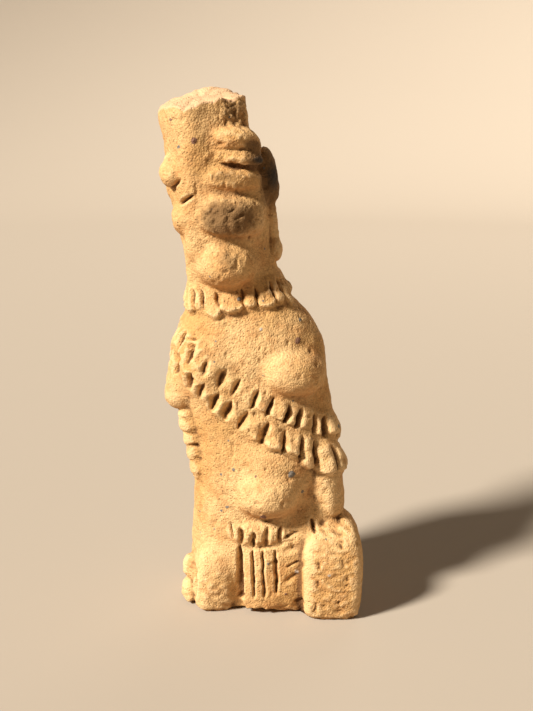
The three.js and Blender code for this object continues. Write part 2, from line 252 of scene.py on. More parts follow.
@dataclass(frozen=True)
class Strand:
    """A strand of clay lobes that hangs, each lobe wider below, thinner towards the end."""

    start: Point
    end: Point
    radius: tuple[float, float]
    lobes: int
    smooth: float

    def distance(self, points: Array) -> Array:
        """About how far points are outside a rod whose radius swells and steps back at each lobe."""
        start = np.array(self.start)
        along = np.array(self.end) - start
        t = np.clip(((points - start) @ along) / (along @ along), 0.0, 1.0)
        lobe = (t * self.lobes) % 1.0
        swell = 0.86 + 0.15 * smooth_step(0.0, 0.7, lobe) * smooth_step(1.0, 0.84, lobe)
        radius = (self.radius[0] + t * (self.radius[1] - self.radius[0])) * swell
        return 0.8 * (lengths(points - start - t[..., None] * along) - radius)


@dataclass(frozen=True)
class Chip:
    """A corner broken off the body: all beyond a plane and right of a jagged line."""

    normal: Point
    offset: float
    right_of: float
    jag: float = 0.7

    def distance(self, points: Array) -> Array:
        """How far points are inside the corner."""
        z = points[..., 2]
        line = self.right_of + self.jag * (np.sin(1.7 * z) + 0.6 * np.sin(3.9 * z))
        return np.minimum(points @ np.array(self.normal) - self.offset, points[..., 0] - line)


class ClayForm:
    """The clay as distances: the rolled body, less a chip, with lumps and rolls smoothed on."""

    SURE_STEP = 0.7
    CLOSE = 0.01
    PROBE = 0.25
    PROBES = np.array([(1.0, -1.0, -1.0), (-1.0, -1.0, 1.0), (-1.0, 1.0, -1.0), (1.0, 1.0, 1.0)])

    def __init__(self, body: RolledBody, chip: Chip, added: tuple[Lump | Roll | Strand, ...]) -> None:
        """Keeps the body, what broke off it and what was added to it."""
        self.body = body
        self.chip = chip
        self.added = added

    def distance(self, points: Array) -> Array:
        """About how far points are outside the clay."""
        near = np.maximum(self.body.distance(points), self.chip.distance(points))
        for piece in self.added:
            near = smooth_union(near, piece.distance(points), piece.smooth)
        return near

    def outward(self, points: Array) -> Array:
        """Unit directions in which the distance grows fastest, from four probes round each point."""
        total = sum(self.distance(points + self.PROBE * way)[..., None] * way for way in self.PROBES)
        return unit(total)

    def meet(self, origin: Array, direction: Array, reach: float, rounds: int = 60) -> Array:
        """Walks in along rays from outside, by a sure share of the distance each time, to the clay.

        Args:
            origin: Starts of the rays, inside the clay.
            direction: Their unit directions.
            reach: How far out the walk starts.
            rounds: Most steps to take.

        Returns:
            The outermost point of the clay on each ray.
        """
        t = np.full(origin.shape[:-1], reach)
        walking = np.ones(t.shape, bool)
        for _ in range(rounds):
            points = origin[walking] + t[walking][:, None] * direction[walking]
            near = self.distance(points)
            t[walking] = np.maximum(t[walking] - self.SURE_STEP * near, 0.0)
            walking[walking] = np.abs(near) > self.CLOSE
            if not walking.any():
                break
        return origin + t[..., None] * direction


def grid_normals(points: Array) -> Array:
    """Unit normals of a surface whose first axis closes round and whose second runs up."""
    around = np.roll(points, -1, 0) - np.roll(points, 1, 0)
    return unit(np.cross(around, np.gradient(points, axis=1)))


def grid_mean(points: Array, rounds: int) -> Array:
    """Averages each point with its four neighbours, again and again."""
    for _ in range(rounds):
        above = np.concatenate([points[:, 1:], points[:, -1:]], 1)
        below = np.concatenate([points[:, :1], points[:, :-1]], 1)
        points = (np.roll(points, 1, 0) + np.roll(points, -1, 0) + above + below + 4.0 * points) / 8.0
    return points


@dataclass(frozen=True)
class Site:
    """Where each point of the surface lies, as a hand that wanders a little would place it."""

    points: Array
    normals: Array
    bearing: Array
    radius: Array
    proud: Array

    WANDER = ((8.0, 0.7), (2.6, 0.3))

    @classmethod
    def of(cls, points: Array, form: ClayForm, noise: SandNoise) -> "Site":
        """Works out the sites of a grid of points.

        Args:
            points: Grid of places on the clay.
            form: The clay that they lie on.
            noise: The noise that makes the hand wander.

        Returns:
            Bearings are 0 at the front and rise towards +X; proud is the distance from the rolled body.
        """
        places = points
        for wavelength, reach in cls.WANDER:
            places = places + reach * noise.drift(points, wavelength)
        offset = places - form.body.axis(places[..., 2])
        bearing = np.arctan2(offset[..., 0], -offset[..., 1])
        radius = np.hypot(offset[..., 0], offset[..., 1])
        normals = unit(grid_mean(form.outward(points), 3))
        return cls(places, normals, bearing, radius, form.body.distance(points))

    @property
    def front(self) -> Array:
        """Share by which the surface faces the front."""
        return smooth_step(0.0, 0.4, -self.normals[..., 1])

    def patch(self, middle: Spot, half: Spot) -> Array:
        """A soft-edged round patch on the front, 1 in the middle and 0 outside."""
        x = (self.points[..., 0] - middle[0]) / half[0]
        z = (self.points[..., 2] - middle[1]) / half[1]
        return smooth_step(1.15, 0.7, np.hypot(x, z)) * self.front


@dataclass(frozen=True)
class ToothRow:
    """A row of teeth on a band: its middle and half height, the bearings of its slits and their leans."""

    across: float
    half: float
    thick: tuple[float, float]
    slits_deg: tuple[float, ...]
    lean_deg: tuple[float, float, float]
    seed: int
    back_pitch_deg: float = 14.0

    def slits(self) -> Array:
        """Bearings of all slits, with even ones round the back where none is named."""
        first, last = self.slits_deg[0], self.slits_deg[-1]
        before = np.arange(first - self.back_pitch_deg, -200.0, -self.back_pitch_deg)[::-1]
        after = np.arange(last + self.back_pitch_deg, 200.0, self.back_pitch_deg)
        return np.concatenate([before, self.slits_deg, after])

    def lean(self, bearing: Array) -> Array:
        """Lean of the slits in radians, set at the left, the middle and the right of the front."""
        return np.radians(np.interp(bearing, (-50.0, 0.0, 60.0), self.lean_deg))


@dataclass(frozen=True)
class Band:
    """A flat band of clay laid round the body and cut into teeth with a knife."""

    z: float
    drop: float
    dip: float
    bend: float
    widen: float
    half: float
    base: float
    slit_width: float
    slit_depth: float
    slit_middle: float
    slit_reach: float
    plain_from_deg: float
    worn_deg: tuple[float, float]
    rows: tuple[ToothRow, ...]
    proud_limit: float = 99.0
    lift: float = 0.0
    merged_deg: tuple[float, float] = (-200.0, -220.0)

    BOW_POWER = 2.6
    CUT_POWER = 1.8
    PLAIN_SPREAD_DEG = 25.0
    WORN_LOSS = 0.7
    LIFT_AT = math.radians(-58.0)
    LIFT_SPREAD = math.radians(35.0)

    def middle(self, bearing: Array) -> Array:
        """Height of the band's middle: two slow waves round the body, and a lift at one side."""
        wave = self.drop * np.sin(bearing) + self.dip * np.cos(bearing)
        lift = self.lift * np.exp(-(((bearing - self.LIFT_AT) / self.LIFT_SPREAD) ** 2))
        return self.z - wave + lift + self.bend * np.sin(2.0 * bearing)

    def steep(self, site: Site) -> Array:
        """Rise in height for each millimetre across the band, in the band's own width."""
        bearing = site.bearing
        climb = (self.middle(bearing + 0.05) - self.middle(bearing - 0.05)) / 0.1
        wide = 1.0 + self.widen * (0.4 + np.sin(bearing))
        return wide * np.hypot(1.0, climb / site.radius)

    def teeth(self, site: Site, across: Array, steep: Array, row: ToothRow) -> tuple[Array, Array]:
        """Teeth like scales, thin at the top and thick at the free end, with leaf-shaped slits between.

        Args:
            site: The surface.
            across: Places on the band.
            steep: Rise for each millimetre across the band.
            row: The row to cut.

        Returns:
            Height of the teeth, and depth of the slits.
        """
        bearing = np.degrees(site.bearing)
        up = across - row.across
        t = up / row.half
        along = bearing - np.degrees(np.tan(row.lean(bearing)) * up * steep / site.radius)
        slits = row.slits()
        after = np.clip(np.searchsorted(slits, along), 1, len(slits) - 1)
        place = np.clip((along - slits[after - 1]) / (slits[after] - slits[after - 1]), 0.0, 1.0)
        slit = np.where(place < 0.5, after - 1, after)
        gap = np.radians(np.abs(along - slits[slit])) * site.radius
        long, fat, wide, deep = np.random.default_rng(row.seed).uniform(-1.0, 1.0, (4, len(slits)))
        merged = smooth_step(*self.merged_deg, bearing)
        bow = 1.0 - (1.0 - 0.85 * merged) * np.abs(2.0 * place - 1.0) ** self.BOW_POWER
        end = -0.9 + 0.32 * (1.0 - bow) + 0.28 * (1.0 - 0.5 * merged) * long[after]
        free_end = smooth_step(end - 0.14 - 0.4 * merged, end + 0.18 + 0.5 * merged, t)
        cover = free_end * smooth_step(1.1, 0.66, t)
        crown = row.thick[0] + (row.thick[1] - row.thick[0]) * smooth_step(0.85, -0.5, t)
        crown = crown * (0.78 + 0.22 * bow) * (1.0 + 0.2 * fat[after])
        crown += 0.8 * merged * (1.25 * self.base - crown)
        leaf = np.clip(1.0 - ((t - self.slit_middle) / self.slit_reach) ** 2, 0.0, 1.0)
        width = self.slit_width * (1.0 + 0.3 * wide[slit]) * (0.12 + 0.88 * leaf) / 2.0
        depth = self.slit_depth * (1.0 + 0.3 * deep[slit]) * leaf
        cut = depth * np.exp(-((gap / width) ** self.CUT_POWER))
        plain_to = self.plain_from_deg + self.PLAIN_SPREAD_DEG
        plain = smooth_step(self.plain_from_deg, plain_to, np.abs(bearing))
        worn = smooth_step(*self.worn_deg, bearing)
        tooth = cover * crown * (1.0 - 0.35 * plain) * (1.0 - self.WORN_LOSS * worn)
        return tooth, cut * (1.0 - 0.6 * plain)

    def height(self, site: Site) -> Array:
        """The band's thickness with its teeth, less its slits."""
        steep = self.steep(site)
        across = (site.points[..., 2] - self.middle(site.bearing)) / steep
        merged = smooth_step(*self.merged_deg, np.degrees(site.bearing))
        edge = smooth_step(-self.half - 0.4 - 1.6 * merged, -self.half + 1.0 + 5.0 * merged, across)
        edge = edge * smooth_step(self.half + 0.6, self.half - 2.6, across)
        raised = self.base * edge * (1.0 - 0.5 * smooth_step(*self.worn_deg, np.degrees(site.bearing)))
        cut = np.zeros(across.shape)
        for row in self.rows:
            tooth, slit = self.teeth(site, across, steep, row)
            raised = np.maximum(raised, tooth)
            cut = np.maximum(cut, slit)
        return (raised - cut) * smooth_step(self.proud_limit + 2.5, self.proud_limit, site.proud)


@dataclass(frozen=True)
class Stroke:
    """A cut of the knife along a line on the front, with the clay pushed up beside it."""

    line: tuple[Spot, ...]
    width: float
    depth: float
    burr: float = 0.12
    blunt: float = 4.0

    def height(self, site: Site) -> Array:
        """A leaf-shaped cut: depth exp(-d^2.4) over a half width that narrows to both ends."""
        places = site.points[..., (0, 2)]
        corners = np.array(self.line)
        marks = np.concatenate([[0.0], np.cumsum(lengths(corners[1:] - corners[:-1]))])
        gap = np.full(places.shape[:-1], np.inf)
        run = np.zeros(gap.shape)
        for start, end, low, high in zip(corners, corners[1:], marks, marks[1:]):
            along = end - start
            t = np.clip(((places - start) @ along) / (along @ along), 0.0, 1.0)
            here = lengths(places - start - t[..., None] * along)
            run = np.where(here < gap, (low + t * (high - low)) / marks[-1], run)
            gap = np.minimum(gap, here)
        leaf = 1.0 - np.abs(2.0 * run - 1.0) ** self.blunt
        share = 2.0 * gap / (self.width * (0.3 + 0.7 * leaf))
        ridge = self.burr * np.exp(-(((share - 1.8) / 0.6) ** 2))
        return (ridge - self.depth * np.exp(-(share**2.4))) * (0.08 + 0.92 * leaf) * site.front


def leaning(x: float, z: float, length: float, lean_deg: float) -> tuple[Spot, Spot]:
    """Ends of a straight stroke by its middle, length and lean; a positive lean tips the top to +X."""
    lean = math.radians(lean_deg)
    dx = math.sin(lean) * length / 2.0
    dz = math.cos(lean) * length / 2.0
    return (x + dx, z + dz), (x - dx, z - dz)


@dataclass(frozen=True)
class RoughPatch:
    """A worn or broken patch on the front: sunk by a depth and broken up by coarse noise."""

    middle: Spot
    half: Spot
    depth: float
    rough: float
    grain: float

    def height(self, site: Site, noise: SandNoise) -> Array:
        """Sinks the patch and adds noise of two sizes to it."""
        broken = noise.at(site.points, self.grain) + 0.6 * noise.at(site.points, self.grain * 0.45)
        return site.patch(self.middle, self.half) * (self.rough * broken - self.depth)


class StoneTone(Enum):
    """Colours of the grit, as the shader counts them."""

    BLUE_GREY = 0.0
    PALE_GREY = 0.5
    PURPLE_BROWN = 1.0


@dataclass(frozen=True)
class Stone:
    """A piece of grit in the surface of the front."""

    at: Spot
    radius: float
    tone: StoneTone

    def share(self, site: Site) -> Array:
        """1 in the middle of the stone, 0 at its edge and -1 at twice its radius."""
        gap = lengths(site.points[..., (0, 2)] - np.array(self.at)) / self.radius
        return np.clip(1.0 - gap, -1.0, 1.0) * site.front - (1.0 - site.front)


@dataclass(frozen=True)
class FireCloud:
    """A smoky patch from the firing: its middle, its half sizes and how dark it is."""

    at: Point
    half: Point
    dark: float

    def share(self, points: Array) -> Array:
        """Falls off from the middle as exp(-r^2)."""
        offset = (points - np.array(self.at)) / np.array(self.half)
        return self.dark * np.exp(-(offset * offset).sum(-1))


@dataclass(frozen=True)
class Break:
    """The break across the cap, higher behind than in front."""

    z: float = 245.6
    rise_right: float = 0.14
    rise_back: float = 6.4
    ridge_x: float = -31.0
    ridge_half: float = 20.0
    front: float = -20.0
    back: float = 16.0
    ragged: float = 1.3

    def height(self, points: Array, noise: SandNoise) -> Array:
        """A plane that rises to one side, a hump that rises to the back, and ragged noise."""
        x = points[..., 0]
        hump = np.maximum(0.0, 1.0 - ((x - self.ridge_x) / self.ridge_half) ** 2)
        behind = np.clip((points[..., 1] - self.front) / (self.back - self.front), 0.0, 1.0)
        level = points * np.array([1.0, 1.0, 0.0])
        ragged = noise.at(level, 7.0) + 0.5 * noise.at(level, 2.6)
        slope = self.rise_right * (x - self.ridge_x)
        return self.z + slope + self.rise_back * hump * behind + self.ragged * ragged


@dataclass(frozen=True)
class Arch:
    """The hollow in the lower edge between the knees."""

    x: float = -5.0
    half_width: float = 17.0
    rise: float = 3.4
    reach: float = 12.0

    def height(self, points: Array) -> Array:
        """A parabola across the front that fades towards the middle of the underside."""
        across = np.maximum(0.0, 1.0 - ((points[..., 0] - self.x) / self.half_width) ** 2)
        forward = np.clip((-points[..., 1] - self.reach) / self.reach, 0.0, 1.0)
        return self.rise * across * forward


BODY_LEVELS = (
    Level(0.0, -38.0, 41.5, -19.0, 26.0, 2.4),
    Level(22.0, -38.0, 40.0, -23.0, 29.0, 2.4),
    Level(52.0, -36.5, 37.0, -24.0, 28.0, 2.4),
    Level(88.0, -37.0, 31.0, -25.0, 28.0, 2.5),
    Level(115.0, -43.0, 27.5, -25.0, 28.0, 2.6),
    Level(133.0, -44.5, 27.4, -24.0, 26.0, 2.7),
    Level(146.0, -40.5, 21.6, -21.0, 22.0, 2.6),
    Level(158.0, -36.6, 10.2, -17.5, 20.0, 2.5),
    Level(168.0, -37.2, 6.0, -18.0, 20.5, 2.5, 9.0),
    Level(180.0, -40.2, 2.5, -18.5, 21.0, 2.7, 18.0),
    Level(205.0, -46.5, 0.5, -20.5, 22.0, 2.8, 19.0),
    Level(227.0, -48.0, -6.0, -21.0, 21.0, 2.8, 19.0),
    Level(240.0, -50.5, -8.5, -20.5, 20.0, 2.8, 19.0),
    Level(256.0, -49.0, -10.0, -18.5, 18.0, 2.7, 19.0),
)

CAP_CHIP = Chip((0.60, -0.74, 0.30), 74.6, -20.4)

FACE = (
    Roll((-32.0, -13.6, 180.0), (-34.6, -16.6, 243.0), 3.8, 7.0),
    Lump((-42.4, -6.4, 214.2), (7.2, 10.8, 7.0), 1.4, -20.0),
    Roll((-44.6, -7.6, 220.6), (-37.8, -14.4, 222.0), 1.9, 2.6),
    Lump((-37.0, -6.6, 194.4), (7.2, 10.8, 9.0), 2.4, 8.0),
    Lump((-14.6, -11.0, 225.4), (12.5, 10.4, 9.6), 3.0, 3.0, 2.4),
    Lump((-15.5, -12.6, 230.6), (11.0, 10.7, 5.0), 2.4, 2.0, 2.2),
    Lump((-12.2, -12.8, 221.4), (10.8, 10.6, 3.7), 2.0, 6.0, 2.2),
    Lump((-17.4, -11.3, 204.0), (15.0, 11.2, 14.0), 3.6, 4.0),
    Lump((-17.2, -12.2, 212.2), (15.4, 12.8, 6.4), 1.8, 4.0, 2.7),
    Lump((-18.5, -11.3, 186.0), (14.0, 10.4, 12.0), 3.6, 5.0),
    Lump((-17.0, -12.4, 196.2), (16.6, 15.6, 10.0), 1.8, 6.0, 3.4),
    Lump((-18.2, -12.0, 173.2), (14.6, 15.4, 11.6), 2.6, 0.0, 2.2),
    Lump((-43.8, 10.0, 212.0), (4.0, 7.0, 12.0), 2.0, 6.0),
    Lump((0.6, 1.0, 213.0), (4.8, 9.5, 13.0), 3.0, -10.0, 2.2),
    Lump((2.6, -1.0, 190.0), (2.7, 3.6, 14.0), 1.6, -6.0, 2.4),
    Lump((4.0, -2.0, 178.5), (3.4, 4.0, 5.6), 1.4, -6.0),
    Roll((-30.5, -5.0, 178.0), (-29.5, -4.0, 156.0), 7.2, 5.0),
)

TRUNK = (
    Lump((11.5, -14.6, 122.5), (17.0, 15.8, 12.4), 2.2, 8.0, 2.3),
    Lump((-27.0, -13.0, 124.0), (13.0, 12.0, 13.0), 6.0),
    Lump((2.0, -14.0, 73.5), (20.5, 16.0, 24.0), 5.0),
    Lump((1.0, -18.0, 63.5), (16.6, 17.0, 12.6), 2.4, 0.0, 2.4),
    Lump((28.5, -9.0, 64.0), (9.0, 13.0, 30.0), 4.0, -6.0),
    Roll((-37.3, -4.0, 131.0), (-41.0, -6.0, 109.0), 8.5, 2.4),
    Roll((18.5, -5.0, 132.0), (24.5, -6.0, 92.0), 8.5, 4.0),
    Strand((-38.0, -8.5, 98.5), (-32.4, -10.0, 69.5), (5.8, 4.5), 4, 1.0),
)

FOOT = (
    Lump((-26.0, -9.2, 14.0), (11.4, 15.2, 20.0), 3.4, 0.0, 2.7, 2.8),
    Lump((1.4, -15.6, 20.0), (15.4, 10.8, 22.0), 2.2, 0.0, 3.0, 3.2),
    Lump((13.5, -14.0, 22.0), (8.5, 11.4, 24.0), 3.0, 0.0, 3.0, 2.6),
    Lump((-3.0, -19.5, 43.0), (17.0, 7.6, 6.4), 1.6, -2.0, 2.6),
    Lump((-37.4, -9.0, 18.9), (5.0, 6.0, 6.2), 1.6, 0.0, 2.6),
    Lump((-37.6, -9.0, 6.8), (5.2, 6.4, 6.4), 1.6, 0.0, 2.6),
    Lump((32.0, -13.0, 20.0), (15.2, 20.4, 28.4), 2.4, 0.0, 3.0, 5.0),
    Lump((19.0, -13.0, 45.0), (10.0, 11.8, 12.0), 4.0),
)

SASH = Band(
    z=108.0, drop=26.0, dip=3.2, bend=5.0, widen=0.2, half=12.2, base=1.3,
    slit_width=2.5, slit_depth=3.6, slit_middle=-0.1, slit_reach=0.92, plain_from_deg=100.0,
    worn_deg=(-44.0, -64.0), lift=5.0, merged_deg=(14.0, -20.0),
    rows=(
        ToothRow(
            5.8, 5.4, (1.4, 2.8), (-37.0, -25.0, -12.5, 4.0, 17.5, 31.0, 40.5, 54.0, 62.5),
            (12.0, 26.0, 18.0), 11,
        ),
        ToothRow(
            -6.2, 6.7, (2.0, 3.6), (-51.0, -43.0, -34.0, -24.5, -12.0, 7.7, 23.3, 36.8, 48.0, 60.0),
            (20.0, 26.0, 8.0), 12,
        ),
    ),
)
COLLAR = Band(
    z=159.7, drop=-2.5, dip=2.5, bend=0.0, widen=0.0, half=6.3, base=0.9,
    slit_width=1.9, slit_depth=2.3, slit_middle=0.1, slit_reach=0.72, plain_from_deg=90.0,
    worn_deg=(-200.0, -220.0),
    rows=(
        ToothRow(
            0.0, 6.6, (1.0, 3.0), (-71.0, -57.0, -45.0, -27.0, 6.0, 25.0, 46.0), (-12.0, 6.0, 8.0), 13,
        ),
    ),
    proud_limit=1.5,
)

PLEATS = ((-7.3, 8.6), (-1.6, 9.2), (4.4, 11.4))
BELT_SLITS = ((-17.4, 43.6, 9.0, 1.1), (-12.5, 41.6, 10.0, 2.6), (-6.1, 40.4, 9.0, 2.2),
              (0.1, 41.6, 10.5, 2.8), (6.8, 42.8, 8.6, 2.1))
FOLDS = ((11.8, 34.9, 8.6, 3.0), (12.6, 27.6, 8.2, 1.4), (11.6, 20.2, 8.4, 2.8), (15.6, 7.8, 5.6, 2.0))

STROKES = (
    Stroke(((-32.6, 205.4), (-36.5, 203.4), (-40.2, 200.8)), 1.7, 2.6),
    Stroke(((-46.6, 206.8), (-41.7, 209.2), (-37.6, 213.0)), 1.4, 1.1),
    Stroke(((-22.0, 219.6), (-15.0, 218.4), (-4.0, 217.6)), 1.3, 1.3),
    Stroke(((-24.0, 226.0), (-15.0, 226.2), (-5.0, 225.4)), 1.4, 0.7),
    Stroke(((-18.0, 198.0), (-12.8, 201.0)), 1.1, 0.8),
    Stroke(((-15.0, 195.6), (-9.0, 197.4)), 1.2, 0.5),
    Stroke(((-42.0, 98.2), (-37.0, 97.2)), 1.5, 0.9),
    Stroke(((-40.2, 90.2), (-34.8, 89.4)), 1.6, 1.0),
    Stroke(((-38.2, 84.4), (-33.0, 83.8)), 1.6, 1.0),
    Stroke(((-36.4, 78.4), (-32.6, 77.8)), 1.4, 0.8),
    Stroke(((-38.3, 137.2), (-32.0, 138.6)), 1.6, 1.4),
    Stroke(((-37.1, 134.0), (-33.9, 136.5)), 1.6, 1.4),
    Stroke(((-35.5, 130.3), (-33.0, 130.6)), 1.5, 1.1),
    Stroke(((-42.8, 130.6), (-43.2, 125.4)), 1.8, 1.2),
    Stroke(((-13.2, 36.2), (-13.3, 21.0), (-12.8, 6.0)), 2.2, 3.4, 0.1, 10.0),
    *(Stroke(((x, 35.2), (x + 0.3, 22.0), (x + 0.6, low)), 1.6, 2.4, 0.1, 10.0) for x, low in PLEATS),
    *(Stroke(leaning(x, z, long, 0.0), width, 2.8) for x, z, long, width in BELT_SLITS),
    *(Stroke(leaning(x, z, long, 58.0), width, 1.1) for x, z, long, width in FOLDS),
    Stroke(((8.4, 41.2), (16.4, 44.0)), 1.5, 1.2),
    Stroke(((-14.6, 36.6), (-8.0, 35.6), (-2.0, 36.2), (7.5, 36.4)), 1.3, 0.9),
    Stroke(((21.7, 50.6), (22.7, 43.5)), 1.6, 2.4),
    Stroke(((27.6, 35.2), (31.0, 36.4), (38.8, 35.2)), 1.6, 0.5),
    Stroke(((26.0, 27.2), (31.5, 27.6), (36.4, 28.4)), 1.6, 0.45),
    Stroke(((29.0, 16.4), (36.0, 15.2), (42.5, 16.6)), 1.6, 0.5),
    Stroke(((29.3, 45.5), (34.0, 45.0), (38.6, 44.2)), 1.6, 1.0),
    Stroke(((24.7, 33.4), (24.7, 27.2)), 1.2, 1.5),
    Stroke(((24.7, 22.4), (24.7, 17.6)), 1.2, 1.5),
    Stroke(((36.6, 33.9), (36.9, 28.6)), 1.2, 1.4),
    Stroke(((38.1, 25.6), (38.3, 19.0)), 1.2, 1.4),
    Stroke(((36.4, 42.8), (36.2, 38.0)), 1.5, 1.5),
    Stroke(((23.5, 10.4), (23.8, 2.8)), 1.4, 1.7),
    Stroke(((28.0, 9.8), (28.1, 5.0)), 1.2, 1.3),
    Stroke(((35.0, 11.3), (35.0, 6.0)), 1.2, 1.1),
    Stroke(((-35.8, 24.6), (-36.0, 5.9)), 1.6, 1.2),
)

ROUGH_PATCHES = (
    RoughPatch((-13.5, 242.0), (8.0, 8.0), 0.0, 1.1, 2.4),
    RoughPatch((-17.0, 195.5), (14.0, 8.0), 0.2, 0.55, 2.4),
    RoughPatch((-15.0, 225.0), (12.0, 10.0), 0.0, 0.5, 2.6),
    RoughPatch((-18.0, 213.0), (13.0, 4.5), 0.1, 0.5, 2.4),
    RoughPatch((-18.0, 177.0), (9.0, 8.0), 0.1, 0.3, 2.4),
    RoughPatch((-25.0, 9.0), (13.5, 14.0), 0.2, 0.6, 3.0),
    RoughPatch((33.0, 24.0), (14.0, 22.0), 0.1, 0.5, 2.1),
    RoughPatch((-39.0, 13.0), (7.0, 13.0), 0.1, 0.6, 2.4),
    RoughPatch((33.0, 46.5), (9.0, 3.6), 0.7, 0.9, 2.4),
    RoughPatch((-36.0, 132.0), (8.0, 9.0), 0.2, 0.8, 3.0),
)

STONES = (
    Stone((11.9, 75.0), 1.6, StoneTone.BLUE_GREY),
    Stone((17.1, 64.0), 0.9, StoneTone.BLUE_GREY),
    Stone((-16.0, 76.2), 1.0, StoneTone.BLUE_GREY),
    Stone((-22.2, 71.9), 0.8, StoneTone.BLUE_GREY),
    Stone((-18.3, 56.1), 0.9, StoneTone.BLUE_GREY),
    Stone((-21.2, 54.1), 0.8, StoneTone.BLUE_GREY),
    Stone((-5.0, 74.4), 0.7, StoneTone.PURPLE_BROWN),
    Stone((-1.8, 54.1), 1.9, StoneTone.PURPLE_BROWN),
    Stone((1.1, 28.0), 0.8, StoneTone.BLUE_GREY),
    Stone((14.6, 23.4), 1.3, StoneTone.PALE_GREY),
    Stone((9.4, 11.3), 0.9, StoneTone.PURPLE_BROWN),
    Stone((30.3, 25.3), 0.9, StoneTone.PALE_GREY),
    Stone((15.9, 146.9), 0.9, StoneTone.BLUE_GREY),
    Stone((14.8, 137.5), 1.4, StoneTone.PURPLE_BROWN),
    Stone((-2.2, 144.2), 0.8, StoneTone.PALE_GREY),
    Stone((-12.7, 157.3), 1.2, StoneTone.BLUE_GREY),
    Stone((32.4, 92.9), 0.9, StoneTone.BLUE_GREY),
    Stone((-32.0, 229.5), 1.5, StoneTone.PURPLE_BROWN),
    Stone((-39.6, 226.9), 0.9, StoneTone.BLUE_GREY),
    Stone((-42.6, 238.3), 0.9, StoneTone.PURPLE_BROWN),
)

FIRE_CLOUDS = (
    FireCloud((3.0, -5.0, 212.5), (6.5, 14.0, 12.5), 1.4),
    FireCloud((-5.5, -20.0, 227.4), (4.2, 7.0, 2.6), 1.0),
    FireCloud((-3.4, -19.0, 221.0), (5.0, 9.0, 3.2), 1.3),
    FireCloud((-18.5, -25.0, 214.0), (9.0, 8.0, 3.6), 0.45),
    FireCloud((-16.6, -28.0, 195.6), (17.0, 11.0, 9.0), 0.85),
    FireCloud((-17.5, -27.0, 177.5), (5.6, 8.0, 8.0), 0.45),
    FireCloud((-14.0, -15.0, 242.5), (8.0, 10.0, 7.0), 0.5),
)


